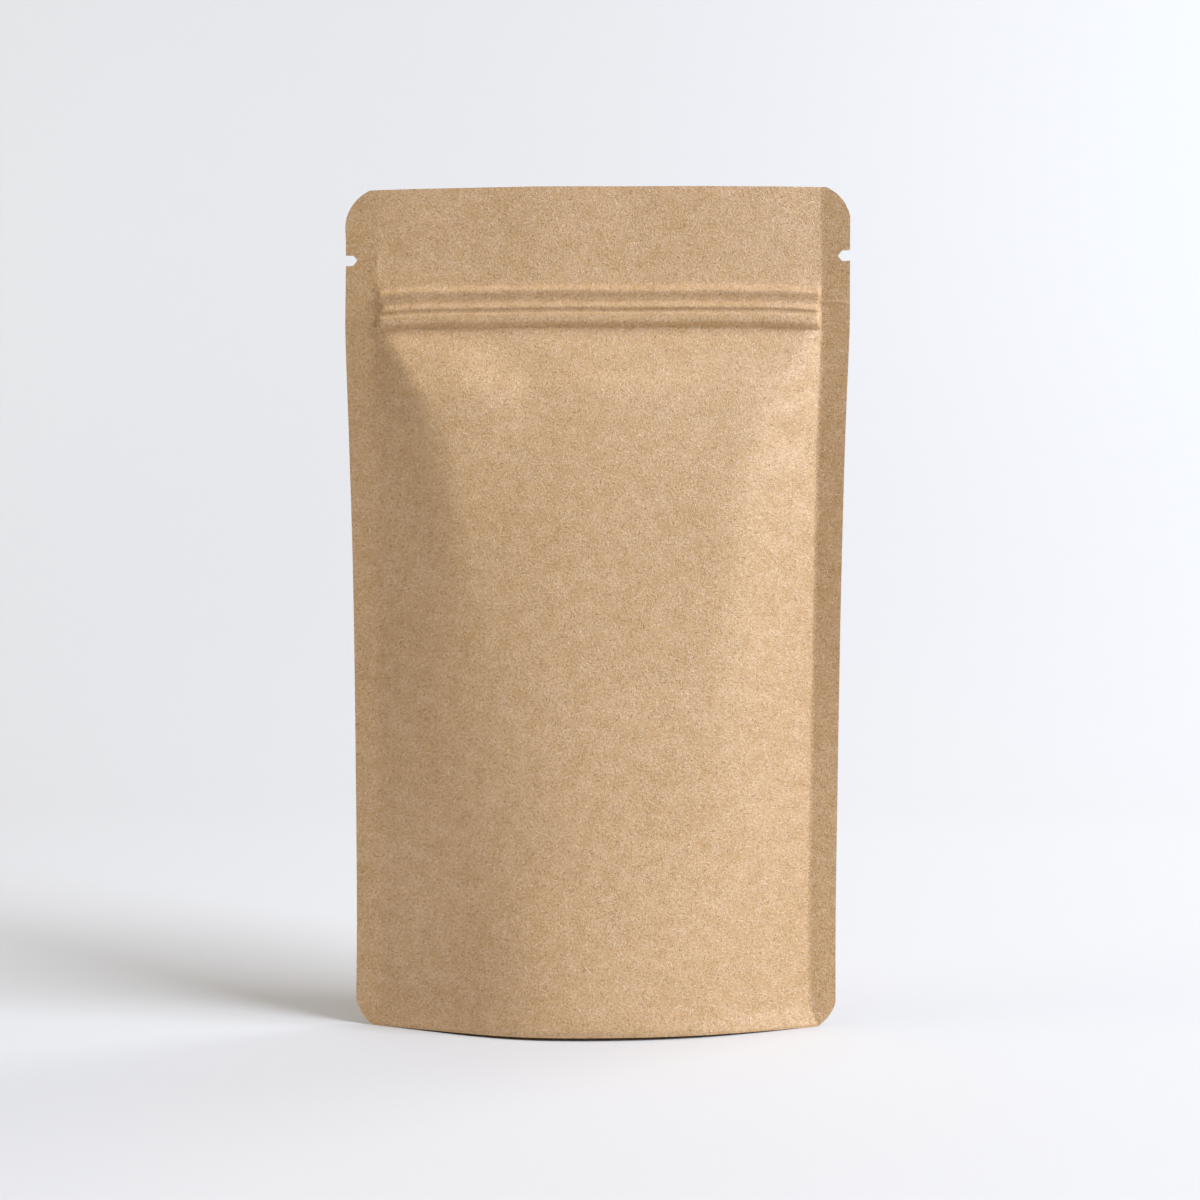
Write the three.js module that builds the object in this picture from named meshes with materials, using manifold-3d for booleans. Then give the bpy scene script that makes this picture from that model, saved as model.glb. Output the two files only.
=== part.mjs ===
// A filled stand-up pouch of kraft paper, shut by a press-zip, with tear notches and a gusset base.
// Millimetres, +Z up, front panel towards -Y, origin on the floor under the middle of the base.
import * as THREE from "three";
import { mergeVertices } from "three/addons/utils/BufferGeometryUtils.js";
import Module from "manifold-3d";

// Driving dimensions
const pouchHeight = 198.5;
const pouchWidth = 120; // across the empty header
const sealThickness = 0.5; // two sheets and their lining, pressed together
const zipFoot = 165.4; // lower edge of the press-zip
const cornerRadius = 10; // of the die that rounds all four corners
const topLeftCorner = { x: 50, z: 189.2 }; // centres of that radius, as distances from the middle
const topRightCorner = { x: 50.4, z: 189.5 };
const baseCorner = { x: 47.3, z: 8.5 };
const notch = { height: 2.5, straight: 1.8, depth: 2.8, leftZ: 182.1, rightZ: 182.7 };
const headerBow = 2.2; // how far the middle of the mouth stands in front of its ends
const bowStart = 60; // height at which the bow starts

// Outlines against height: [z, value]
const width = [[0, 113.8], [25, 113.8], [54, 114.5], [101, 115.9], [139, 117.8], [163, 119.7], [168, pouchWidth]];
const leftSeal = [[0, 3.9], [2, 5], [6, 6], [76, 6], [101, 6.5], [149, 7.3], [171, 7.9]];
const rightSeal = [[0, 3.9], [2, 5], [6, 6.2], [101, 6.2], [171, 6.5]];
const depth = [
  [0, 16], [30, 15], [77, 13.4], [101, 12.4], [125, 10.8], [148.5, 7.4], [155, 5],
  [160, 3.1], [165.2, 1.1], [172, 0.6], [pouchHeight, 0.4],
]; // middle of the panel to the plane of the seals
const foldInset = [
  [101, 19], [125, 17], [141, 14.5], [148.6, 12], [158, 7], [165, 2.5], [172, 6], [pouchHeight, 10],
]; // seal to side fold
const foldDepth = 0.84; // share of the depth that is reached at the side fold
const foldBlend = 0.12; // rounds the fold off, as a share of the depth
const foldFade = [45, 125]; // the folds sharpen from nothing over these heights
const bulgePower = 1.8; // of the round section that takes their place at the base
const leftTurn = [[0, 3], [40, 9], [100, 12], [166, 8], [198, 4]]; // degrees that the seal bends backwards
const rightTurn = [[0, 0], [20, 2], [60, 8], [100, 13], [166, 13], [198, 9]]; // and forwards

// Press-zip ribs: [height above zipFoot, how far they stand out]
const ribs = [
  [0, 0], [0.9, 0.85], [1.6, 1.25], [2.3, 1.48], [2.7, 1.5], [3.35, 1.22], [3.6, 1.25], [4.3, 1.64], [4.7, 1.58],
  [5.35, 1.05], [5.85, 0.82], [6.25, 0.8], [7.35, 1.24], [7.75, 1.3], [8.15, 1.18], [8.9, 0.62], [9.5, 0.38],
  [12, 0.1], [14, 0],
];
const ribFade = 2; // length over which a rib flattens into the side seal

// Underside: a flat base, a groove behind the skirt, and a fold that rises to each side seal
const skirtWall = 0.6;
const skirtLift = 0.6; // the middle of the skirt hangs clear of the floor
const skirtLiftReach = 50;
const baseHalf = { x: 30, y: 11 };
const grooveHeight = 3;
const aboveSkirt = 10; // height at which the panels have closed in to the full side seals
const foldStart = 27; // from the middle to where each gusset fold leaves the floor
const foldEnd = 48;
const foldTop = 34;

const paper = new THREE.MeshStandardMaterial({ color: 0xc8a985, roughness: 0.85, metalness: 0 });

const clamp = THREE.MathUtils.clamp;
const smoothstep = THREE.MathUtils.smoothstep;

// From one value to another in equal steps of about the given size, without the last one
function steps(from, to, size) {
  const count = Math.ceil(Math.abs(to - from) / size);
  return Array.from({ length: count }, (_, i) => from + ((to - from) * i) / count);
}

// Value of an outline at height z, on a smooth curve through its points
function along(outline, z) {
  const last = outline.length - 1;
  if (z <= outline[0][0]) return outline[0][1];
  if (z >= outline[last][0]) return outline[last][1];
  const i = outline.findIndex((point) => point[0] > z) - 1;
  const slope = (k) => {
    const before = outline[Math.max(k - 1, 0)];
    const after = outline[Math.min(k + 1, last)];
    return (after[1] - before[1]) / (after[0] - before[0]);
  };
  const [z0, v0] = outline[i];
  const [z1, v1] = outline[i + 1];
  const span = z1 - z0;
  const t = (z - z0) / span;
  const rise = t * t * (3 - 2 * t);
  return v0 + (v1 - v0) * rise + span * t * (1 - t) * (slope(i) * (1 - t) - slope(i + 1) * t);
}

// The smaller of two values, rounded off over a blend of the given size
function smoothMin(a, b, size) {
  const h = clamp(0.5 + (0.5 * (b - a)) / size, 0, 1);
  return b + (a - b) * h - size * h * (1 - h);
}

const halfWidth = (z) => along(width, z) / 2;
const leftSealX = (z) => along(leftSeal, z) - halfWidth(z);
const rightSealX = (z) => halfWidth(z) - along(rightSeal, z);

// How far the press-zip stands out of the panel; it is pressed flat at its ends
function ribHeight(x, z) {
  const above = z - zipFoot;
  if (above <= 0 || above >= ribs[ribs.length - 1][0]) return 0;
  const i = ribs.findIndex((point) => point[0] > above) - 1;
  const t = (above - ribs[i][0]) / (ribs[i + 1][0] - ribs[i][0]);
  const out = ribs[i][1] + (ribs[i + 1][1] - ribs[i][1]) * t;
  const toSeal = Math.min(x - leftSealX(z), rightSealX(z) - x);
  return out * smoothstep(toSeal, 0, ribFade);
}

// Distance of the panel from the plane of the seals. Below the zip a flat trapezoid is folded
// to each seal; further down the folds fade into one round bulge.
function panelDepth(x, z) {
  const left = leftSealX(z);
  const right = rightSealX(z);
  if (x <= left || x >= right) return sealThickness / 2;
  const halfSpan = (right - left) / 2;
  const inward = Math.min(x - left, right - x) / halfSpan; // 0 at the seal, 1 in the middle
  const fold = along(foldInset, z) / halfSpan;
  const crown = foldDepth + (1 - foldDepth) * (1 - ((1 - inward) / (1 - fold)) ** 2);
  const folded = Math.max(smoothMin((inward * foldDepth) / fold, crown, foldBlend), 0);
  const round = 1 - (1 - inward) ** bulgePower;
  const share = THREE.MathUtils.lerp(round, folded, smoothstep(z, ...foldFade));
  return sealThickness / 2 + along(depth, z) * share + ribHeight(x, z);
}

// The plane of the seals: the header bows forward in its middle, the left seal is bent a little
// backwards and the right one forwards
function middleY(x, z) {
  const bow = -headerBow * smoothstep(z, bowStart, pouchHeight) * (1 - (x / (pouchWidth / 2)) ** 2);
  const pastLeft = Math.max(leftSealX(z) - x, 0);
  const pastRight = Math.max(x - rightSealX(z), 0);
  const slope = (degrees) => Math.tan(THREE.MathUtils.degToRad(degrees));
  return bow + pastLeft * slope(along(leftTurn, z)) - pastRight * slope(along(rightTurn, z));
}

const acrossPanel = 40; // columns from seal to seal

// The x of each column at height z, from the left edge to the right edge
function columns(z) {
  const left = leftSealX(z);
  const right = rightSealX(z);
  const panel = Array.from({ length: acrossPanel + 1 }, (_, i) => left + ((right - left) * i) / acrossPanel);
  return [-halfWidth(z), ...panel, halfWidth(z)];
}

// A closed mesh through equal rings of points, each seen anticlockwise from the ring after it;
// both end rings are filled between their two halves
function loft(rings) {
  const size = rings[0].length;
  const positions = rings.flat(2);
  const index = [];
  for (let r = 0; r + 1 < rings.length; r++) {
    for (let i = 0; i < size; i++) {
      const a = r * size + i;
      const b = r * size + ((i + 1) % size);
      index.push(a, b, b + size, a, b + size, a + size);
    }
  }
  const top = (rings.length - 1) * size;
  for (let i = 0; i + 1 < size / 2; i++) {
    const across = size - 1 - i;
    index.push(i, across, i + 1, i + 1, across, across - 1);
    index.push(top + i, top + i + 1, top + across, top + i + 1, top + across - 1, top + across);
  }
  const geometry = new THREE.BufferGeometry();
  geometry.setAttribute("position", new THREE.Float32BufferAttribute(positions, 3));
  geometry.setIndex(index);
  return geometry;
}

// Outer form: one ring at each height, the front from left to right and then the back
function bodyGeometry() {
  const zipTop = zipFoot + ribs[ribs.length - 1][0];
  const skirtTop = 12;
  const shoulder = 120; // where the panels start to close towards the zip
  const coarse = 12;
  const middling = 6.6;
  const fine = 4;
  const heights = [
    ...steps(0, skirtTop, fine), ...steps(skirtTop, shoulder, coarse), ...steps(shoulder, zipFoot, middling),
    ...ribs.map(([above]) => zipFoot + above), ...steps(zipTop, pouchHeight, middling).slice(1), pouchHeight,
  ];
  const rings = heights.map((z) => {
    const xs = columns(z);
    const front = xs.map((x) => [x, middleY(x, z) - panelDepth(x, z), z]);
    const back = xs.map((x) => [x, middleY(x, z) + panelDepth(x, z), z]);
    return [...front, ...back.reverse()];
  });
  return loft(rings);
}

const footSink = 0.3; // the underside is worked out this much low, which leaves the base a flat foot

// Height of the underside over the floor; where it is below 0 the base rests
function undersideHeight(x, y, inner) {
  const side = Math.abs(x);
  const fold = foldTop * clamp((side - foldStart) / (foldEnd - foldStart), 0, 1) * (1 - Math.abs(y) / inner);
  const flat = baseHalf.y * Math.sqrt(Math.max(1 - (side / baseHalf.x) ** 2, 0));
  const groove = grooveHeight * smoothstep(Math.abs(y), flat, flat + 0.7 * (inner - flat));
  return fold + groove - footSink;
}

// Everything under the pouch, to be cut away from its flat foot
function undersideGeometry() {
  const outside = 3;
  const floorBelow = -2;
  const lowestRoof = floorBelow + 0.5;
  const ringStep = 4;
  const corner = 0.15; // width of the slope from the roof down to the skirt
  const shares = [0, 0.2, 0.4, 0.55, 0.7, 0.85, 1];
  const rings = [...steps(foldEnd, -foldEnd, ringStep), -foldEnd].map((x) => {
    const inner = Math.min(panelDepth(x, 0), panelDepth(x, aboveSkirt)) - skirtWall;
    const lift = skirtLift * (1 - (x / skirtLiftReach) ** 2);
    const roof = (y) => [x, y, Math.max(undersideHeight(x, y, inner), lowestRoof)];
    const half = shares.map((share) => share * (inner - corner));
    const skirt = [
      [x, inner, lift],
      [x, inner + skirtWall + outside, lift],
    ];
    const far = [...half.slice(1).map(roof), ...skirt];
    const near = far.map(([, y, z]) => [x, -y, z]).reverse();
    const top = [...near, roof(0), ...far];
    return [...top, ...top.map(([, y]) => [x, y, floorBelow]).reverse()];
  });
  return loft(rings);
}

// Extrudes an outline in the XZ plane through the sheets
function throughSheets(points) {
  const depth = 12;
  const shape = new THREE.Shape(points.map(([x, z]) => new THREE.Vector2(x, z)));
  const geometry = new THREE.ExtrudeGeometry(shape, { depth, bevelEnabled: false });
  return geometry.translate(0, 0, -depth / 2).rotateX(Math.PI / 2);
}

// What the die trims from a corner: all that is outside its radius. up is 1 at the top, -1 at the base.
function cornerWaste(side, up, centre, edgeZ) {
  const arcSteps = 10;
  const beyond = 2;
  const reach = Math.abs(edgeZ - centre.z);
  const arc = Array.from({ length: arcSteps + 1 }, (_, i) => {
    const angle = (Math.PI / 2) * (i / arcSteps);
    return [side * (centre.x + cornerRadius * Math.cos(angle)), centre.z + up * cornerRadius * Math.sin(angle)];
  });
  const outer = edgeZ + up * beyond;
  const far = side * (centre.x + cornerRadius + beyond);
  const closing = [
    [side * centre.x, centre.z + up * Math.max(reach + beyond, cornerRadius)],
    [far, outer],
    [far, centre.z],
  ];
  return throughSheets([...arc, ...closing]);
}

// A tear notch: a short slot with a pointed end
function notchWaste(side, z) {
  const edge = pouchWidth / 2;
  const outside = edge + 2;
  const half = notch.height / 2;
  const points = [
    [side * outside, z - half],
    [side * (edge - notch.straight), z - half],
    [side * (edge - notch.depth), z],
    [side * (edge - notch.straight), z + half],
    [side * outside, z + half],
  ];
  return throughSheets(points);
}

const wasm = await Module();
wasm.setup();

function solidFrom(geometry) {
  geometry.deleteAttribute("normal");
  geometry.deleteAttribute("uv");
  const merged = mergeVertices(geometry, 1e-4);
  const mesh = new wasm.Mesh({
    numProp: 3,
    vertProperties: merged.getAttribute("position").array,
    triVerts: new Uint32Array(merged.index.array),
  });
  return new wasm.Manifold(mesh);
}

function geometryFrom(solid) {
  const mesh = solid.getMesh();
  const geometry = new THREE.BufferGeometry();
  geometry.setAttribute("position", new THREE.BufferAttribute(mesh.vertProperties, 3));
  geometry.setIndex(new THREE.BufferAttribute(mesh.triVerts, 1));
  geometry.computeVertexNormals();
  return geometry;
}

function pouchGeometry() {
  const cuts = [
    undersideGeometry(),
    cornerWaste(-1, 1, topLeftCorner, pouchHeight),
    cornerWaste(1, 1, topRightCorner, pouchHeight),
    cornerWaste(-1, -1, baseCorner, 0),
    cornerWaste(1, -1, baseCorner, 0),
    notchWaste(-1, notch.leftZ),
    notchWaste(1, notch.rightZ),
  ];
  return geometryFrom(cuts.reduce((solid, cut) => solid.subtract(solidFrom(cut)), solidFrom(bodyGeometry())));
}

const pouch = new THREE.Mesh(pouchGeometry(), paper);
pouch.name = "pouch";

const object = new THREE.Group();
object.add(pouch);
export default object;
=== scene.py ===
import math

import bpy
import numpy as np
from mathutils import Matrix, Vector


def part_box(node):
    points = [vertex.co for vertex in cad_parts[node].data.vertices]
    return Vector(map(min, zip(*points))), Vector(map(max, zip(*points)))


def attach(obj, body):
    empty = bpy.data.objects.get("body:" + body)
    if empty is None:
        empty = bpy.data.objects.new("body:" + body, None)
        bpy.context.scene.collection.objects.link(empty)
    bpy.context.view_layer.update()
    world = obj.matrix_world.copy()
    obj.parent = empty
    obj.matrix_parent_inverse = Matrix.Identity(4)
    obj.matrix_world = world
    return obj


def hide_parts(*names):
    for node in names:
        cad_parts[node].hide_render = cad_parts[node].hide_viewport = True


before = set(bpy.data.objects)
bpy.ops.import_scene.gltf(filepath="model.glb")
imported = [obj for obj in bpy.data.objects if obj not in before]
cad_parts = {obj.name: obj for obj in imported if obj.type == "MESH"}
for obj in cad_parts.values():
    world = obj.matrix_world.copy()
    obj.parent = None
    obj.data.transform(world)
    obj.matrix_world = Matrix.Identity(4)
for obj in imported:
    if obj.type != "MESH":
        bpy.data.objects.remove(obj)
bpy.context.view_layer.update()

mm = 0.001  # sizes are written in millimetres and reach Blender in metres
low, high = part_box("pouch")
pouchTop = high.z / mm
print("frame loaded, pouch is", [round((b - a) / mm, 1) for a, b in zip(low, high)], "mm")


# curves and blends that the form is made of

def along(outline, z):
    # a smooth curve through the outline's (height, value) points
    knots, values = np.array(outline, float).T
    slopes = np.empty_like(values)
    slopes[1:-1] = (values[2:] - values[:-2]) / (knots[2:] - knots[:-2])
    slopes[0] = (values[1] - values[0]) / (knots[1] - knots[0])
    slopes[-1] = (values[-1] - values[-2]) / (knots[-1] - knots[-2])
    z = np.clip(z, knots[0], knots[-1])
    i = np.clip(np.searchsorted(knots, z, side="right") - 1, 0, len(knots) - 2)
    span = knots[i + 1] - knots[i]
    t = (z - knots[i]) / span
    rise = t * t * (3 - 2 * t)
    bend = span * t * (1 - t) * (slopes[i] * (1 - t) - slopes[i + 1] * t)
    return values[i] + (values[i + 1] - values[i]) * rise + bend


def smoothStep(value, start, end):
    t = np.clip((value - start) / (end - start), 0, 1)
    return t * t * (3 - 2 * t)


# the pouch's form: its outline and depth are the solid's, within 2 mm

pouchForm = {
    # outlines against height: (z, value)
    "width": ((0, 113.8), (25, 113.8), (54, 114.5), (101, 115.9), (139, 117.8), (163, 119.7), (168, 120)),
    "leftSeal": ((0, 3.9), (2, 5), (6, 6), (76, 6), (101, 6.5), (149, 7.3), (171, 7.9)),
    "rightSeal": ((0, 3.9), (2, 5), (6, 6.2), (101, 6.2), (171, 6.5)),
    "depth": (
        (0, 15.9), (1.5, 16.2), (4, 16.2), (30, 15), (77, 13.4), (101, 12.4), (125, 10.8), (148.5, 7.4),
        (155, 5), (160, 3.1), (165.2, 1.1), (172, 0.6), (198.5, 0.4),
    ),
    # from the seal to the side fold
    "leftFold": (
        (0, 17), (101, 19), (125, 17), (141, 14), (148.6, 10), (158, 4.8),
        (165, 2.2), (172, 6), (198.5, 10),
    ),
    "rightFold": (
        (0, 21), (60, 20), (101, 19.5), (125, 17.5), (141, 15), (148.6, 12), (153.5, 7.2), (158, 4.6),
        (165, 2.4), (172, 6), (198.5, 10),
    ),
    # share of the depth reached at the side fold
    "leftShare": ((0, 0.5), (45, 0.54), (100, 0.76), (125, 0.84)),
    "rightShare": ((0, 0.62), (45, 0.67), (100, 0.81), (125, 0.85), (148, 0.82), (158, 0.72)),
    # how much steeper than its average the paper leaves the seal
    "leftCurl": ((0, 0.05), (45, 0.12), (77, 0.28), (100, 0.2), (125, 0)),
    "rightCurl": ((0, 0.1), (60, 0.05), (100, 0)),
    # length over which the fold turns, on each side of it, and its most as a share of the way to the seal
    "foldRound": ((0, 10), (60, 8), (110, 5), (148, 3.2), (165, 2.2)),
    "mostRound": 0.9,
    # how much further out the left edge reaches than the right one
    "leftSpread": (
        (0, 0.35), (60, 0), (110, 0), (143, 0.18), (160, 0.05),
        (172, -0.17), (180, -0.3), (187, -0.3), (193, 0),
    ),
    "headerBow": 2.7,  # the header curves forward, most of all a little right of the middle
    "bowMiddle": 11,
    "bowReach": 60,
    "bowStart": 60,
    "headerLean": 0.8,  # the header curls forward above the zip
    "leanStart": 174,
    # degrees that the left seal bends backwards and the right one forwards
    "leftTurn": ((0, 15), (40, 16), (100, 16), (150, 13), (176, 6), (198, 6)),
    "rightTurn": ((0, 0), (20, 1), (60, 7), (100, 14), (140, 16), (166, 16), (198, 15)),
    "narrowestSeal": 0.25,  # what a corner or a notch leaves of it
    "sheet": 0.2,  # one sheet with its lining
    "cornerRadius": 10,
    "topCorners": {-1: (50, 189.2), 1: (50.2, 189.4)},  # by side: left, right
    "baseCorner": (47.3, 8.5),
    "notchHeight": 2.5,
    "notchStraight": 1.8,
    "notchDepth": 2.8,
    "notchSlack": 1.001,  # takes in the rows on the notch's own edge
    "notches": {-1: 182.1, 1: 182.3},
    # folds are at full strength this far from the seal, and die out between these heights
    "foldsFree": 2.5,
    "foldsEnd": (160, 165),
    # share of a line's length over which its ends die out
    "softFold": 0.3,
    "softCrease": 0.1,
}

# broad folds and puckers, from x, z to x, z: half width, how far they stand out
frontFolds = (
    (-26, 164, -11, 145, 7, -0.75),  # dent under the zip
    (-50, 164, -24, 149, 7, 0.6),  # tension line from the left end of the zip
    (51, 164, 30, 150, 6, 0.35),
    (52, 146, 41, 143.5, 2.2, 0.45),  # puckers along the right seal
    (52, 138.5, 42, 138, 2.0, -0.3),
    (52, 131.5, 40, 129.5, 2.6, 0.4),
    (52, 121, 43, 120, 2.4, 0.2),
    (53.4, 163.6, 50.4, 165, 0.9, 0.3),
    (-51.5, 156.5, -46.5, 155.2, 1.7, -0.35),  # and along the left one
    (-51.5, 151, -45.5, 149.8, 1.8, 0.3),
    (-51.5, 147, -44.5, 145.5, 2.0, -0.4),
    (-51.5, 139, -44, 138, 2.2, 0.2),
    (-18, -8, -16, 30, 14, 1),  # the base bulges a little more on the left
)
# sharp little creases, pressed into the seals and round the ends of the zip
frontCreases = (
    (-12, 204, -12, 175, 15, 0.45),  # the mouth stands open a little here
    (53.4, 175.3, 59.9, 174.9, 0.22, 0.09),
    (54.2, 171.4, 57, 171.6, 0.26, 0.22),
    (57, 171.6, 59.9, 170.9, 0.24, 0.2),
    (54, 155.3, 59.3, 155.4, 0.3, 0.1),
    (54, 151.9, 59.2, 152.1, 0.3, 0.1),
    (-52, 175.6, -51.8, 183.6, 0.3, 0.25),
    (-51.9, 175.4, -49.8, 177.6, 0.3, 0.14),
    (-52, 165, -54.8, 167.6, 0.3, 0.12),
    (-54.6, 172.4, -53.4, 170, 0.3, 0.2),
)


def mirrored(lines):
    return tuple((-x0, z0, -x1, z1, halfW, out) for x0, z0, x1, z1, halfW, out in lines)


frontLines = {"folds": frontFolds, "creases": frontCreases}
backLines = {"folds": mirrored(frontFolds), "creases": mirrored(frontCreases)}


def halfWidth(z):
    return along(pouchForm["width"], z) / 2


def edgeX(z, side):
    # from the middle to the die-cut edge, with its round corners and its tear notch
    form = pouchForm
    reach = halfWidth(z)
    topX, topZ = form["topCorners"][side]
    baseX, baseZ = form["baseCorner"]
    for cx, cz, inside in ((topX, topZ, z > topZ), (baseX, baseZ, z < baseZ)):
        arc = cx + np.sqrt(np.maximum(form["cornerRadius"] ** 2 - (z - cz) ** 2, 0))
        reach = np.where(inside, np.minimum(reach, arc), reach)
    if side < 0:
        reach = reach + along(form["leftSpread"], z)
    near = np.abs(z - form["notches"][side]) / (form["notchHeight"] / 2)
    cut = form["notchStraight"] + (form["notchDepth"] - form["notchStraight"]) * (1 - near)
    return reach - np.where(near <= form["notchSlack"], cut, 0)


def sealX(z, side):
    # from the middle to where the seal starts
    form = pouchForm
    seal = form["leftSeal"] if side < 0 else form["rightSeal"]
    return np.minimum(halfWidth(z) - along(seal, z), edgeX(z, side) - form["narrowestSeal"])


def relief(lines, x, z, soft):
    total = np.zeros(np.broadcast(x, z).shape)
    for x0, z0, x1, z1, halfW, out in lines:
        dx, dz = x1 - x0, z1 - z0
        length = math.hypot(dx, dz)
        t = ((x - x0) * dx + (z - z0) * dz) / length**2
        off = ((x - x0) * dz - (z - z0) * dx) / length
        ends = smoothStep(t, -soft, soft) * (1 - smoothStep(t, 1 - soft, 1 + soft))
        total += out * ends * np.exp(-((off / halfW) ** 2))
    return total


def panelDepth(x, z, lines):
    # distance of a panel's outer face from the plane of the seals
    form = pouchForm
    left, right = -sealX(z, -1), sealX(z, 1)
    halfSpan = (right - left) / 2
    toSeal = np.clip(np.minimum(x - left, right - x), 0, None)
    inward = np.minimum(toSeal / halfSpan, 1)
    fold = np.where(x < 0, along(form["leftFold"], z), along(form["rightFold"], z)) / halfSpan
    share = np.where(x < 0, along(form["leftShare"], z), along(form["rightShare"], z))
    curl = np.where(x < 0, along(form["leftCurl"], z), along(form["rightCurl"], z))
    crown = share + (1 - share) * (1 - ((1 - inward) / (1 - fold)) ** 2)
    facet = inward * share / fold * (1 + curl * (1 - inward / fold))
    kink = np.maximum(share / fold * (1 - curl) - 2 * (1 - share) / (1 - fold), 0)
    reach = np.minimum(along(form["foldRound"], z) / halfSpan, form["mostRound"] * fold)
    rounding = kink / (4 * reach) * np.maximum(reach - np.abs(inward - fold), 0) ** 2
    bulge = along(form["depth"], z) * (np.where(inward < fold, facet, crown) - rounding)
    free = smoothStep(toSeal, 0, form["foldsFree"]) * (1 - smoothStep(z, *form["foldsEnd"]))
    folds = relief(lines["folds"], x, z, form["softFold"]) * free
    return form["sheet"] + bulge + folds + relief(lines["creases"], x, z, form["softCrease"])


def middleY(x, z):
    # the plane of the seals
    form = pouchForm
    curved = smoothStep(z, form["bowStart"], pouchTop)
    bow = -form["headerBow"] * curved * (1 - ((x - form["bowMiddle"]) / form["bowReach"]) ** 2)
    curled = np.maximum(z - form["leanStart"], 0) / (pouchTop - form["leanStart"])
    bow = bow - form["headerLean"] * curled**2
    pastLeft = np.maximum(-sealX(z, -1) - x, 0)
    pastRight = np.maximum(x - sealX(z, 1), 0)
    back = np.tan(np.radians(along(form["leftTurn"], z)))
    forward = np.tan(np.radians(along(form["rightTurn"], z)))
    return bow + pastLeft * back - pastRight * forward


# the shell: two panels, the open mouth above the zip, and the gusset under the base

shell = {
    "sealColumns": 8,
    "panelColumns": 122,
    "crowding": 0.45,  # the columns stand closer towards the seals
    # rows are spaced by the second number from the height that the first one gives
    "rows": ((0, 0.45), (7, 1.25), (150, 0.5), (157, 1), (164, 0.16), (176, 0.5), (182, 1.2), (189, 0.42)),
    "besideNotch": 0.03,  # from the notch's edge to the next row
    "closestRows": 0.02,
    "slitDepth": 4,
    "slitHalf": 0.05,  # the mouth is never closer than this to the middle
    "slitSlant": 0.3,  # how far each wall of the slit leans over to the other
    "slitFade": 5,  # the mouth opens over this length beside each seal
    "skirtWall": 0.3,  # thickness of the skirt's edge
    "skirtWallShare": 0.35,  # its most, as a share of the depth at the rim
    "skirtLift": 0.8,  # the skirt's edge arches up off the floor, in front and at the back
    "skirtLiftReach": 50,
    "skirtLiftHeight": 4,
    "baseHalf": (30, 11),  # of the flat middle of the underside
    "innerShare": 0.3,  # the gusset's least half depth, as a share of the depth at the rim
    "grooveHeight": 3,
    "grooveReach": 0.7,  # share of the way from the flat middle to the skirt
    "grooveLeast": 0.1,  # that way is counted as no shorter than this
    "footSink": 0.3,  # paper less than this off the floor lies flat on it
    "aboveSkirt": 10,  # height at which the gusset has to clear the panels
    "foldStart": 27,
    "foldEnd": 49.5,
    "foldTop": 35,
    "gussetRows": 24,
    "gussetShare": 0.98,  # of the half depth, at the first and the last row
    "gussetPaper": 40,  # length of paper counted for the gusset, from skirt to skirt
    "sharpAngle": 50,  # degrees
}
mesh = {"points": [], "faces": [], "outward": [], "free": [], "paper": [], "count": 0}


def addPoints(x, y, z, outward, free, paper):
    # outward: -1 on the front sheet, 1 on the back one; free: how far inside the seals;
    # paper: place along the one web of paper that makes front, gusset and back
    x, y, z, outward, free, paper = np.broadcast_arrays(x, y, z, outward, free, paper)
    ids = mesh["count"] + np.arange(x.size).reshape(x.shape)
    mesh["points"].append(np.stack((x, y, z), axis=-1).reshape(-1, 3) * mm)
    mesh["paper"].append(np.stack((x, paper, 0 * x), axis=-1).reshape(-1, 3) * mm)
    mesh["outward"].append(outward.reshape(-1))
    mesh["free"].append(free.reshape(-1) * mm)
    mesh["count"] += x.size
    return ids


def addGrid(ids):
    quads = np.stack((ids[:-1, :-1], ids[:-1, 1:], ids[1:, 1:], ids[1:, :-1]), axis=-1)
    mesh["faces"].extend(quads.reshape(-1, 4).tolist())


def addStrips(strips, front, back, first, last):
    # strips run from the front panel to the back one, over the columns between the seals;
    # in the seals the two panels meet directly
    ids = np.vstack([front[first : last + 1], *strips, back[first : last + 1]])
    addGrid(ids)
    addGrid(np.stack((front, back))[:, :first])
    addGrid(np.stack((front, back))[:, last + 1 :])
    mesh["faces"].append([front[first - 1], *ids[:, 0], back[first - 1]])
    mesh["faces"].append([*ids[:, -1], back[last + 1], front[last + 1]])


def rowHeights():
    starts = [start for start, step in shell["rows"]] + [pouchTop]
    rows = [np.arange(a, b, step) for a, b, (start, step) in zip(starts, starts[1:], shell["rows"])]
    half = pouchForm["notchHeight"] / 2
    beside = half + shell["besideNotch"]
    for notchZ in pouchForm["notches"].values():
        rows.append(notchZ + np.array((-beside, -half, -half / 2, 0, half / 2, half, beside)))
    joined = np.unique(np.round(np.concatenate([*rows, [pouchTop]]), 3))
    return joined[np.concatenate(([True], np.diff(joined) > shell["closestRows"]))]


def gussetZ(x, y, inner):
    # height of the underside: flat in the middle, a groove behind the skirt, a fold to each seal
    side = np.abs(x)
    rise = np.clip((side - shell["foldStart"]) / (shell["foldEnd"] - shell["foldStart"]), 0, 1)
    fold = shell["foldTop"] * rise * np.clip(1 - np.abs(y) / inner, 0, 1)
    halfX, halfY = shell["baseHalf"]
    flat = halfY * np.sqrt(np.maximum(1 - (side / halfX) ** 2, 0))
    slope = shell["grooveReach"] * np.maximum(inner - flat, shell["grooveLeast"])
    groove = shell["grooveHeight"] * smoothStep(np.abs(y), flat, flat + slope)
    return np.where(side < shell["foldEnd"], np.maximum(fold + groove - shell["footSink"], 0), 0)


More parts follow.
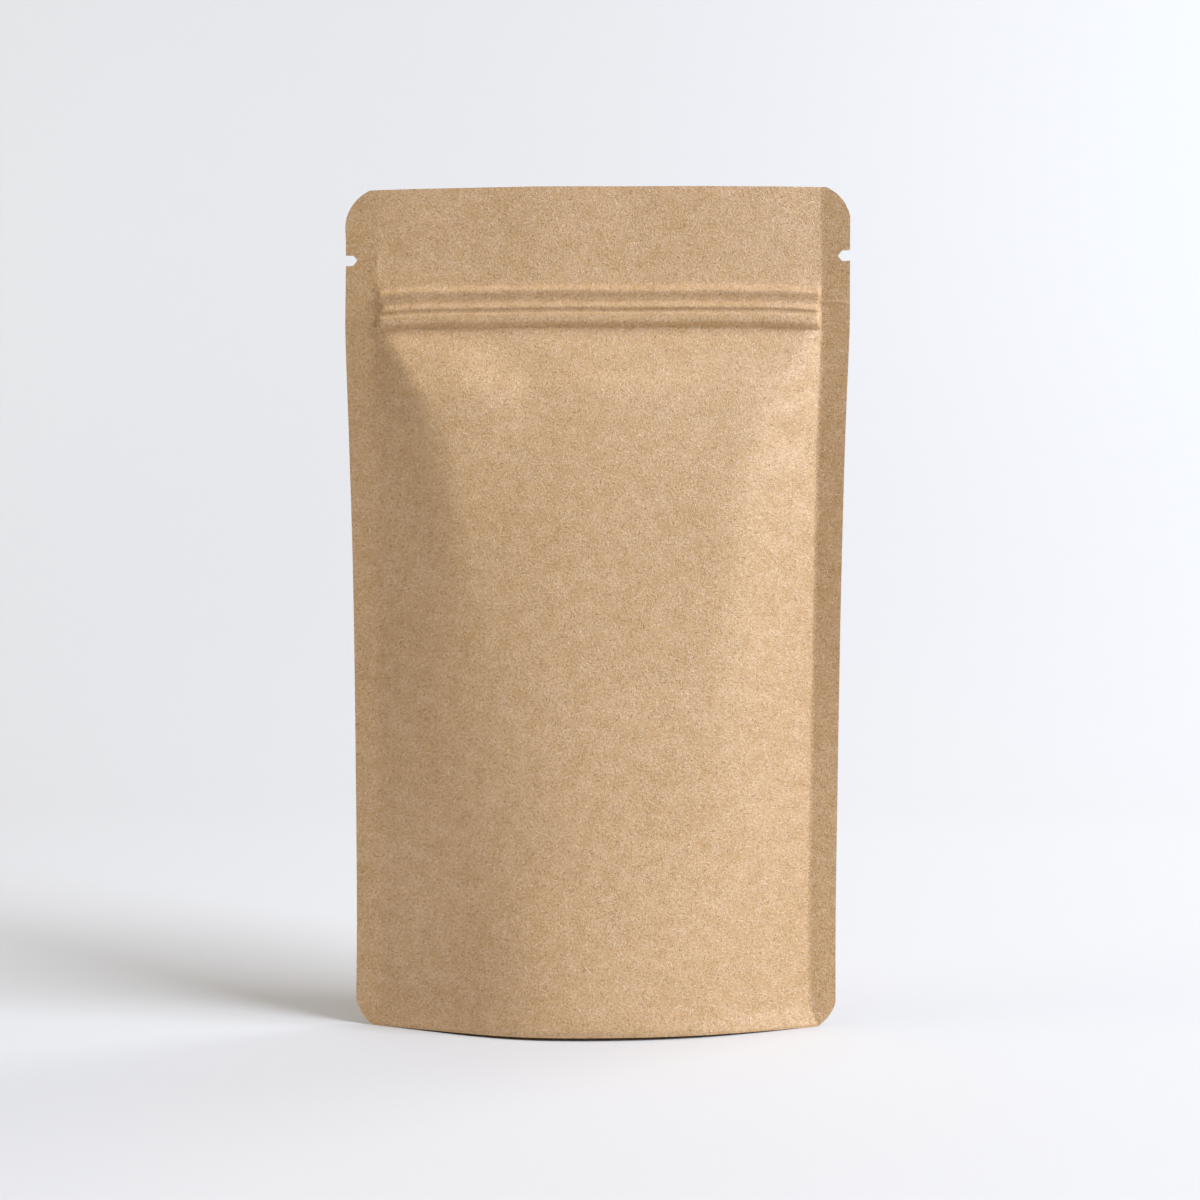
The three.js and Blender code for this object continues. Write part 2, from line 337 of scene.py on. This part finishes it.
def addPanels():
    # the front and the back, row by row from the floor up, and column by column from the left
    z = rowHeights()
    inSeal = np.linspace(0, 1, shell["sealColumns"] + 1)[:-1]
    t = np.linspace(0, 1, shell["panelColumns"] + 1)
    across = t - shell["crowding"] * np.sin(2 * np.pi * t) / (2 * np.pi)
    left, right = -sealX(z, -1)[:, None], sealX(z, 1)[:, None]
    edgeL, edgeR = -edgeX(z, -1)[:, None], edgeX(z, 1)[:, None]
    x = np.hstack((
        edgeL + (left - edgeL) * inSeal,
        left + (right - left) * across,
        edgeR + (right - edgeR) * inSeal[::-1],
    ))
    z = z[:, None] + 0 * x
    free = np.minimum(x - left, right - x)
    middle = middleY(x, z)
    yFront, yBack = middle - panelDepth(x, z, frontLines), middle + panelDepth(x, z, backLines)
    lift = shell["skirtLift"] * np.clip(1 - (x / shell["skirtLiftReach"]) ** 2, 0, 1)
    zSkirt = z + lift * (1 - smoothStep(z, 0, shell["skirtLiftHeight"]))

    front = addPoints(x, yFront, zSkirt, -1, free, z)
    back = addPoints(x, yBack, zSkirt, 1, free, -z - shell["gussetPaper"])
    addGrid(front)
    addGrid(back[:, ::-1])
    addGrid(np.stack((front[:, -1], back[:, -1]), axis=1))
    addGrid(np.stack((back[:, 0], front[:, 0]), axis=1))
    return {"x": x, "z": zSkirt, "free": free, "middle": middle, "yFront": yFront, "yBack": yBack,
            "front": front, "back": back}


def addMouth(grid, first, last):
    # a slit between the two sheets
    keys = ("x", "free", "middle", "yFront", "yBack")
    x, free, middle, yFront, yBack = (grid[key][-1, first : last + 1] for key in keys)
    sheet, half, slant = pouchForm["sheet"], shell["slitHalf"], shell["slitSlant"]
    slitFront = np.minimum(yFront + sheet, middle - half)
    slitBack = np.maximum(yBack - sheet, middle + half)
    bottom = pouchTop - shell["slitDepth"] * smoothStep(free, 0, shell["slitFade"])
    paper = pouchTop + shell["slitDepth"]
    strips = [
        addPoints(x, slitFront, pouchTop, -1, free, pouchTop),
        addPoints(x, slitFront * (1 - slant) + slitBack * slant, bottom, -1, free, paper),
        addPoints(x, slitFront * slant + slitBack * (1 - slant), bottom, 1, free, paper),
        addPoints(x, slitBack, pouchTop, 1, free, pouchTop),
    ]
    addStrips(strips, grid["front"][-1], grid["back"][-1], first, last)


def addUnderside(grid, first, last):
    # from the front skirt to the back one
    x, free, z = (grid[key][0, first : last + 1] for key in ("x", "free", "z"))
    rim = panelDepth(x, np.zeros_like(x), frontLines)
    wall = np.minimum(shell["skirtWall"], shell["skirtWallShare"] * rim)
    above = panelDepth(x, np.full_like(x, shell["aboveSkirt"]), frontLines) - shell["skirtWall"]
    inner = np.clip(np.minimum(rim - wall, above), shell["innerShare"] * rim, None)
    paper = -shell["gussetPaper"] / 2
    strips = [addPoints(x, wall - rim, z, -1, free, paper + rim)]
    for share in np.linspace(-shell["gussetShare"], shell["gussetShare"], shell["gussetRows"]):
        y = inner * share
        strips.append(addPoints(x, y, gussetZ(x, y, inner), 0, free, paper - y))
    strips.append(addPoints(x, rim - wall, z, 1, free, paper - rim))
    addStrips(strips[::-1], grid["back"][0], grid["front"][0], first, last)


def buildShell():
    grid = addPanels()
    first, last = shell["sealColumns"], shell["sealColumns"] + shell["panelColumns"]
    addMouth(grid, first, last)
    addUnderside(grid, first, last)

    data = bpy.data.meshes.new("pouchShell")
    data.from_pydata(np.concatenate(mesh["points"]).tolist(), [], mesh["faces"])
    data.validate()
    for name, kind, field in (("outward", "FLOAT", "value"), ("free", "FLOAT", "value"),
                              ("paper", "FLOAT_VECTOR", "vector")):
        values = np.concatenate(mesh[name]).astype(np.float32).ravel()
        data.attributes.new(name, kind, "POINT").data.foreach_set(field, values)
    data.shade_smooth()
    made = bpy.data.objects.new("pouchShell", data)
    bpy.context.scene.collection.objects.link(made)
    return made


pouch = buildShell()
print("shell built,", len(pouch.data.polygons), "faces")


# Geometry Nodes

def newTree(name, numbers):
    # a geometry tree with named inputs, each a number, and a material
    tree = bpy.data.node_groups.new(name, "GeometryNodeTree")
    tree.is_modifier = True
    tree.interface.new_socket("Geometry", in_out="INPUT", socket_type="NodeSocketGeometry")
    for title in numbers:
        tree.interface.new_socket(title, in_out="INPUT", socket_type="NodeSocketFloat")
    tree.interface.new_socket("Material", in_out="INPUT", socket_type="NodeSocketMaterial")
    tree.interface.new_socket("Geometry", in_out="OUTPUT", socket_type="NodeSocketGeometry")
    return tree, tree.nodes.new("NodeGroupInput").outputs


def addNode(tree, kind, links=None, **settings):
    node = tree.nodes.new(kind)
    for key, value in settings.items():
        setattr(node, key, value)
    for key, value in (links or {}).items():
        if isinstance(value, bpy.types.NodeSocket):
            tree.links.new(value, node.inputs[key])
        else:
            node.inputs[key].default_value = value
    return node


def calc(tree, operation, *values):
    node = addNode(tree, "ShaderNodeMath", dict(enumerate(values)), operation=operation)
    return node.outputs[0]


def fade(tree, value, start, end):
    # rises smoothly from 0 at start to 1 at end
    node = addNode(tree, "ShaderNodeMapRange", {"Value": value, "From Min": start, "From Max": end},
                   interpolation_type="SMOOTHSTEP")
    return node.outputs[0]


def finishTree(tree, geometry, given):
    real = addNode(tree, "GeometryNodeRealizeInstances", {0: geometry}).outputs[0]
    painted = addNode(tree, "GeometryNodeSetMaterial", {"Geometry": real, "Material": given["Material"]})
    output = tree.nodes.new("NodeGroupOutput")
    tree.links.new(painted.outputs[0], output.inputs[0])


def runTree(piece, tree, numbers, material):
    # the tree's inputs are set by identifier, and its result becomes the piece's own mesh
    modifier = piece.modifiers.new(tree.name, "NODES")
    modifier.node_group = tree
    for item in tree.interface.items_tree:
        if item.in_out == "INPUT" and item.name in numbers:
            modifier[item.identifier] = float(numbers[item.name])
        elif item.in_out == "INPUT" and item.name == "Material":
            modifier[item.identifier] = material
    evaluated = piece.evaluated_get(bpy.context.evaluated_depsgraph_get())
    made = bpy.data.meshes.new_from_object(evaluated)
    piece.modifiers.remove(modifier)
    piece.data = made
    made.name = piece.name


def readValue(tree, name):
    node = addNode(tree, "GeometryNodeInputNamedAttribute", {"Name": name}, data_type="FLOAT")
    return node.outputs["Attribute"]


def moveAlongY(tree, geometry, amount):
    offset = addNode(tree, "ShaderNodeCombineXYZ", {"Y": amount}).outputs[0]
    return addNode(tree, "GeometryNodeSetPosition", {"Geometry": geometry, "Offset": offset}).outputs[0]


# the press-zip's ribs stand out on both sheets
pressZip = {
    "Foot": 165.4 * mm,
    "Band": 14 * mm,  # height of the ribs together
    "Stand Out": 1.65 * mm,
    "End Fade": 0.9 * mm,
    "Pinch": 0.8 * mm,  # how far the crushed ends draw in
    "Pinch Height": 5.7 * mm,  # above the foot
    "Pinch Reach": 2.2 * mm,
    "Droop": 0.5 * mm,  # how far the ends of the ribs hang down
    "Droop Reach": 12 * mm,
    "Waver": 0.45 * mm,  # how far the ribs run out of line
    "Waves": 38,  # in a metre
    # height above the foot, how far the rib stands out, in millimetres
    "ribs": (
        (0, 0), (0.08, 0.1), (0.8, 0.98), (1.5, 1.44), (2.1, 1.55), (2.8, 1.58), (3.15, 1.48), (3.7, 1.15),
        (3.95, 1.15), (4.35, 1.45), (4.7, 1.56), (5, 1.48), (5.9, 0.84), (6.2, 0.74), (6.6, 0.78),
        (7.6, 1.16), (8.15, 1.4), (8.5, 1.44), (8.85, 1.3), (9.6, 0.64), (10, 0.38), (10.5, 0.24),
        (12, 0.1), (14, 0),
    ),
}


def pressZipTree():
    tree, given = newTree("pressZip", [name for name in pressZip if name != "ribs"])
    place = addNode(tree, "GeometryNodeInputPosition").outputs[0]
    split = addNode(tree, "ShaderNodeSeparateXYZ", {0: place}).outputs
    free = readValue(tree, "free")
    drift = addNode(tree, "ShaderNodeTexNoise", {"W": split["X"], "Scale": given["Waves"], "Detail": 2},
                    noise_dimensions="1D").outputs[0]
    waver = calc(tree, "MULTIPLY", calc(tree, "SUBTRACT", drift, 0.5), given["Waver"])
    droop = calc(tree, "MULTIPLY", fade(tree, free, given["Droop Reach"], 0.0), given["Droop"])
    above = calc(tree, "SUBTRACT", split["Z"], given["Foot"])
    above = calc(tree, "ADD", above, calc(tree, "ADD", waver, droop))
    curve = addNode(tree, "ShaderNodeFloatCurve", {"Value": calc(tree, "DIVIDE", above, given["Band"])})
    points = curve.mapping.curves[0].points
    band, standOut = pressZip["Band"] / mm, pressZip["Stand Out"] / mm
    outline = [(height / band, out / standOut) for height, out in pressZip["ribs"]]
    points[0].location, points[1].location = outline[0], outline[-1]
    for spot in outline[1:-1]:
        points.new(*spot)
    for point in points:
        point.handle_type = "AUTO_CLAMPED"
    curve.mapping.update()
    fromPinch = calc(tree, "ABSOLUTE", calc(tree, "SUBTRACT", above, given["Pinch Height"]))
    pinch = calc(tree, "MULTIPLY", fade(tree, fromPinch, given["Pinch Reach"], 0.0), given["Pinch"])
    ends = fade(tree, calc(tree, "SUBTRACT", free, pinch), 0.0, given["End Fade"])
    height = calc(tree, "MULTIPLY", calc(tree, "MULTIPLY", curve.outputs[0], given["Stand Out"]), ends)
    moved = moveAlongY(tree, given["Geometry"], calc(tree, "MULTIPLY", height, readValue(tree, "outward")))
    finishTree(tree, moved, given)
    return tree


# paper never lies quite flat: each panel ripples a little, and the two sheets of the header wave together
paperRipple = {
    "Broad": 0.22 * mm,
    "Broad Waves": 42,  # in a metre
    "Close": 0.05 * mm,
    "Close Waves": 150,
    "Seal Reach": 4 * mm,  # the seals hold the panels still over this length
    "Together": 0.6 * mm,
    "Together Waves": 26,
    "Together From": 90 * mm,
    "Together Full": 185 * mm,
    # depths at which the noise is read, in metres: one to either side for the panels, one for both sheets
    "Panel Slice": 0.37,
    "Header Slice": 0.11,
}


def paperRippleTree():
    tree, given = newTree("paperRipple", paperRipple)
    place = addNode(tree, "GeometryNodeInputPosition").outputs[0]
    split = addNode(tree, "ShaderNodeSeparateXYZ", {0: place}).outputs
    outward = readValue(tree, "outward")

    def wave(size, waves, depth, detail):
        links = {"X": split["X"], "Y": depth, "Z": split["Z"]}
        spot = addNode(tree, "ShaderNodeCombineXYZ", links).outputs[0]
        links = {"Vector": spot, "Scale": waves, "Detail": detail}
        made = addNode(tree, "ShaderNodeTexNoise", links).outputs[0]
        return calc(tree, "MULTIPLY", calc(tree, "SUBTRACT", made, 0.5), size)

    sides = calc(tree, "MULTIPLY", outward, given["Panel Slice"])
    broad = wave(given["Broad"], given["Broad Waves"], sides, 1)
    close = wave(given["Close"], given["Close Waves"], sides, 2)
    inside = calc(tree, "MULTIPLY", fade(tree, readValue(tree, "free"), 0.0, given["Seal Reach"]), outward)
    apart = calc(tree, "MULTIPLY", calc(tree, "ADD", broad, close), inside)
    settle = fade(tree, split["Z"], given["Together From"], given["Together Full"])
    together = wave(given["Together"], given["Together Waves"], given["Header Slice"], 1)
    together = calc(tree, "MULTIPLY", together, settle)
    finishTree(tree, moveAlongY(tree, given["Geometry"], calc(tree, "ADD", apart, together)), given)
    return tree


# kraft paper

kraftPaper = {
    "colour": (0.568, 0.352, 0.166, 1),
    "toneShift": (0.75, 1, 1.9),  # darker paper is yellower, by red, green and blue
    "lightFibre": (0.85, 0.68, 0.5, 1),
    "darkFibre": (0.27, 0.13, 0.045, 1),
    "sealShade": 0.955,  # paper is a little darker where it is pressed together
    "sealEdge": (-0.2 * mm, 0.4 * mm),  # the darker part ends between these places, inwards from the seal
    # how much the tone varies, and over how many millimetres
    "cloud": 0.035,
    "cloudSize": 38,
    "mottle": 0.075,
    "mottleSize": 4,
    "grain": 0.17,
    "grainSize": 0.42,
    "noiseRange": (0.3, 0.7),  # what nearly all of a noise lies between
    "woolSize": 1.5,  # felted fibres, which show as relief alone
    "woolWidth": 0.1,
    "roughness": 0.47,
    "shine": 0.8,
    "relief": 0.16 * mm,
    "reliefStrength": 0.7,
    "grainRelief": 0.8,  # shares of the relief
    "woolRelief": 0.5,
    # loose fibres on the surface: cell, length, half thickness, chance, strength, shift of the pattern
    "paleStrokes": ((2.2, 1.6, 0.1, 0.5, 0.45, 31.3), (0.95, 0.6, 0.11, 0.5, 0.42, 48.4)),
    "darkStrokes": ((2.8, 1, 0.14, 0.55, 0.7, 77.7), (0.9, 0.45, 0.12, 0.55, 0.68, 91.6)),
    "strokeBend": 1.6,
    "strokeCore": 0.4,  # share of a fibre's thickness at full strength
    "shiftSlope": -0.7,  # how far across a pattern shifts for each millimetre along
    "slant": 0.6,  # radians; the noises are turned off the axes, so that no weave shows
}


def kraftMaterial():
    paper = kraftPaper
    material = bpy.data.materials.new("kraftPaper")
    material.use_nodes = True
    tree = material.node_tree
    tree.nodes.clear()
    onPaper = addNode(tree, "ShaderNodeAttribute", attribute_name="paper").outputs["Vector"]
    place = addNode(tree, "ShaderNodeVectorMath", {0: onPaper, "Scale": 1 / mm},
                    operation="SCALE").outputs[0]

    def shifted(shift):
        # reads another part of a pattern, so that no two of them agree
        aside = (shift, paper["shiftSlope"] * shift, 0)
        return addNode(tree, "ShaderNodeVectorMath", {0: place, 1: aside}).outputs[0]

    def turned(vector, angle):
        links = {"Vector": vector, "Angle": angle}
        return addNode(tree, "ShaderNodeVectorRotate", links, rotation_type="Z_AXIS").outputs[0]

    def noise(size, detail, shift, twist=0.0):
        slanted = turned(shifted(shift), paper["slant"] + shift)
        links = {"Vector": slanted, "Scale": 1 / size, "Detail": detail, "Distortion": twist}
        return addNode(tree, "ShaderNodeTexNoise", links, noise_dimensions="2D").outputs[0]

    def band(value, fromMin, fromMax, toMin=0.0, toMax=1.0):
        links = {"Value": value, "From Min": fromMin, "From Max": fromMax, "To Min": toMin, "To Max": toMax}
        return addNode(tree, "ShaderNodeMapRange", links).outputs[0]

    def vary(value, amount):
        return band(value, *paper["noiseRange"], 1 - amount, 1 + amount)

    def mix(share, a, b):
        # inputs 6 and 7 are a Mix node's two colours, and output 2 is what they make
        return addNode(tree, "ShaderNodeMix", {"Factor": share, 6: a, 7: b}, data_type="RGBA").outputs[2]

    def strokes(cell, length, halfThick, chance, strength, shift):
        # one short bent fibre in each cell of a Voronoi pattern, turned at random
        moved = shifted(shift)
        cells = addNode(tree, "ShaderNodeTexVoronoi", {"Vector": moved, "Scale": 1 / cell},
                        voronoi_dimensions="2D").outputs
        offset = addNode(tree, "ShaderNodeVectorMath", {0: moved, 1: cells["Position"]},
                         operation="SUBTRACT").outputs[0]
        draws = addNode(tree, "ShaderNodeSeparateColor", {0: cells["Color"]}).outputs
        fibre = turned(offset, calc(tree, "MULTIPLY", draws[0], 2 * math.pi))
        split = addNode(tree, "ShaderNodeSeparateXYZ", {0: fibre}).outputs
        bend = calc(tree, "MULTIPLY", calc(tree, "SUBTRACT", draws[1], 0.5), paper["strokeBend"] / length)
        sag = calc(tree, "MULTIPLY", calc(tree, "MULTIPLY", split[0], split[0]), bend)
        fromLine = calc(tree, "ABSOLUTE", calc(tree, "SUBTRACT", split[1], sag))
        line = band(fromLine, halfThick, halfThick * paper["strokeCore"])
        end = band(calc(tree, "ABSOLUTE", split[0]), length / 2, length / 3)
        there = calc(tree, "MULTIPLY", calc(tree, "LESS_THAN", draws[2], chance), strength)
        return calc(tree, "MULTIPLY", calc(tree, "MULTIPLY", line, end), there)

    grain = noise(paper["grainSize"], detail=1.5, shift=11.9, twist=0.9)
    cloud = noise(paper["cloudSize"], detail=2, shift=0.3)
    mottle = noise(paper["mottleSize"], detail=3, shift=21.7)
    tone = calc(tree, "MULTIPLY", vary(cloud, paper["cloud"]), vary(mottle, paper["mottle"]))
    tone = calc(tree, "MULTIPLY", tone, vary(grain, paper["grain"]))
    free = addNode(tree, "ShaderNodeAttribute", attribute_name="free").outputs["Fac"]
    tone = calc(tree, "MULTIPLY", tone, band(free, *paper["sealEdge"], paper["sealShade"], 1.0))

    change = calc(tree, "SUBTRACT", tone, 1.0)
    shade = addNode(tree, "ShaderNodeVectorMath", {0: paper["toneShift"], 1: change, 2: (1, 1, 1)},
                    operation="MULTIPLY_ADD").outputs[0]
    shaded = addNode(tree, "ShaderNodeVectorMath", {0: paper["colour"][:3], 1: shade},
                     operation="MULTIPLY").outputs[0]
    pale, dark = 0.0, 0.0
    for settings in paper["paleStrokes"]:
        pale = calc(tree, "MAXIMUM", pale, strokes(*settings))
    for settings in paper["darkStrokes"]:
        dark = calc(tree, "MAXIMUM", dark, strokes(*settings))
    colour = mix(dark, mix(pale, shaded, paper["lightFibre"]), paper["darkFibre"])

    felt = noise(paper["woolSize"], detail=2.5, shift=3.3, twist=1.8)
    wool = band(calc(tree, "ABSOLUTE", calc(tree, "SUBTRACT", felt, 0.5)), paper["woolWidth"], 0.0)
    lumps = calc(tree, "ADD", calc(tree, "MULTIPLY", grain, paper["grainRelief"]),
                 calc(tree, "MULTIPLY", wool, paper["woolRelief"]))
    links = {"Height": lumps, "Distance": paper["relief"], "Strength": paper["reliefStrength"]}
    bump = addNode(tree, "ShaderNodeBump", links).outputs[0]
    links = {"Base Color": colour, "Normal": bump, "Roughness": paper["roughness"],
             "Specular IOR Level": paper["shine"]}
    surface = addNode(tree, "ShaderNodeBsdfPrincipled", links).outputs[0]
    addNode(tree, "ShaderNodeOutputMaterial", {"Surface": surface})
    return material


kraft = kraftMaterial()
pouch.data.materials.append(kraft)
runTree(pouch, pressZipTree(), pressZip, kraft)
runTree(pouch, paperRippleTree(), paperRipple, kraft)
pouch.data.set_sharp_from_angle(angle=math.radians(shell["sharpAngle"]))
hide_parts("pouch")
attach(pouch, "root")
print("pouch finished,", len(pouch.data.polygons), "faces")


# room, camera and lights

room = {
    "floorHalf": 2500,
    "wallY": 450,  # how far behind the pouch the sweep starts to rise
    "sweepRadius": 700,
    "sweepSteps": 16,
    "wallTop": 1000,
    # the wall is coloured darker than the floor: painted shade on the backdrop
    "floorColour": (0.678, 0.67, 0.655, 1),
    "wallShadedColour": (0.598, 0.593, 0.581, 1),
    "blend": (300, 1000),  # from the floor's colour to the wall's painted shade, between these distances behind the pouch
    "roughness": 0.9,
}


def paleMaterial():
    pale = bpy.data.materials.new("paleSweep")
    pale.use_nodes = True
    tree = pale.node_tree
    place = addNode(tree, "ShaderNodeTexCoord").outputs["Object"]
    behind = addNode(tree, "ShaderNodeSeparateXYZ", {0: place}).outputs["Y"]
    start, end = room["blend"]
    # painted shade: the sweep darkens from the floor's colour to the wall's behind the pouch
    share = fade(tree, behind, start * mm, end * mm)
    tone = addNode(tree, "ShaderNodeMix", {"Factor": share, 6: room["floorColour"], 7: room["wallShadedColour"]},
                   data_type="RGBA").outputs[2]
    surface = tree.nodes["Principled BSDF"].inputs
    surface["Roughness"].default_value = room["roughness"]
    tree.links.new(tone, surface["Base Color"])
    return pale


def buildRoom():
    half, wallY, radius = room["floorHalf"], room["wallY"], room["sweepRadius"]
    profile = [(-half, 0), (wallY, 0)]
    for step in range(1, room["sweepSteps"] + 1):
        turn = math.pi / 2 * step / room["sweepSteps"]
        profile.append((wallY + radius * math.sin(turn), radius * (1 - math.cos(turn))))
    profile.append((wallY + radius, room["wallTop"]))
    points = [(x * mm, y * mm, z * mm) for y, z in profile for x in (-half, half)]
    faces = [(2 * i, 2 * i + 1, 2 * i + 3, 2 * i + 2) for i in range(len(profile) - 1)]
    data = bpy.data.meshes.new("paleSweep")
    data.from_pydata(points, [], faces)
    data.shade_smooth()
    sweep = bpy.data.objects.new("paleSweep", data)
    bpy.context.scene.collection.objects.link(sweep)
    data.materials.append(paleMaterial())


cameraPlace = {
    "distance": 441,
    "height": 101.1,
    "turn": 0.9,  # degrees round to the right
    "aside": 1.05,
    "sensor": 36,
    "frame": 1200,  # pixels across the photograph
    "pixelsPerMm": 505 / 120,  # the pouch's width, in pixels and in millimetres
}


def buildCamera():
    view = cameraPlace
    data = bpy.data.cameras.new("camera")
    camera = bpy.data.objects.new("camera", data)
    bpy.context.scene.collection.objects.link(camera)
    data.sensor_width = view["sensor"]
    data.lens = view["sensor"] * view["distance"] * view["pixelsPerMm"] / view["frame"]
    turn = math.radians(view["turn"])
    right = Vector((math.cos(turn), math.sin(turn), 0))
    back = Vector((math.sin(turn), -math.cos(turn), 0))
    place = right * view["aside"] + back * view["distance"]
    camera.location = Vector((place.x, place.y, view["height"])) * mm
    camera.rotation_euler = (math.pi / 2, 0, turn)
    bpy.context.scene.camera = camera


# each light: degrees in front of the right-hand side, degrees up, distance, width, height, watts, colour
lights = {
    "keyLight": (27, 34, 3000, 1600, 1600, 118, (0.955, 1.025, 1.18)),
    "topLight": (90, 85, 1500, 700, 700, 3.5, (1, 1, 1)),
    "rearLight": (-32, 42, 1500, 450, 450, 4, (1, 1, 1)),
    "leftLight": (165, 25, 1500, 600, 600, 3, (1, 0.9, 0.78)),
}
aimHeight = 90  # they all point at this height on the pouch
# a lamp on the left, out of sight, that evens out the backdrop
backdropLight = {"place": (-750, 500, 600), "aim": (-250, 1150, 600), "size": 400, "watts": 1.5}
world = {"colour": (1, 0.94, 0.86, 1), "strength": 0.25}


def addLamp(name, place, aim, wide, tall, watts, colour):
    data = bpy.data.lights.new(name, "AREA")
    data.shape = "RECTANGLE"
    data.size, data.size_y = wide * mm, tall * mm
    data.energy = watts
    data.color = colour
    lamp = bpy.data.objects.new(name, data)
    bpy.context.scene.collection.objects.link(lamp)
    lamp.location = place
    lamp.rotation_euler = (aim - place).to_track_quat("-Z", "Y").to_euler()


def buildLights():
    target = Vector((0, 0, aimHeight * mm))
    for name, (front, up, distance, wide, tall, watts, colour) in lights.items():
        front, up = math.radians(front), math.radians(up)
        away = Vector((math.cos(front) * math.cos(up), -math.sin(front) * math.cos(up), math.sin(up)))
        addLamp(name, target + away * distance * mm, target, wide, tall, watts, colour)
    size = backdropLight["size"]
    place, aim = Vector(backdropLight["place"]) * mm, Vector(backdropLight["aim"]) * mm
    addLamp("backdropLight", place, aim, size, size, backdropLight["watts"], (1, 1, 1))
    sky = bpy.data.worlds.new("studio")
    sky.use_nodes = True
    background = sky.node_tree.nodes["Background"].inputs
    background["Color"].default_value = world["colour"]
    background["Strength"].default_value = world["strength"]
    bpy.context.scene.world = sky
    bpy.context.scene.view_settings.view_transform = "Standard"


buildRoom()
buildCamera()
buildLights()
print("room, camera and lights set")
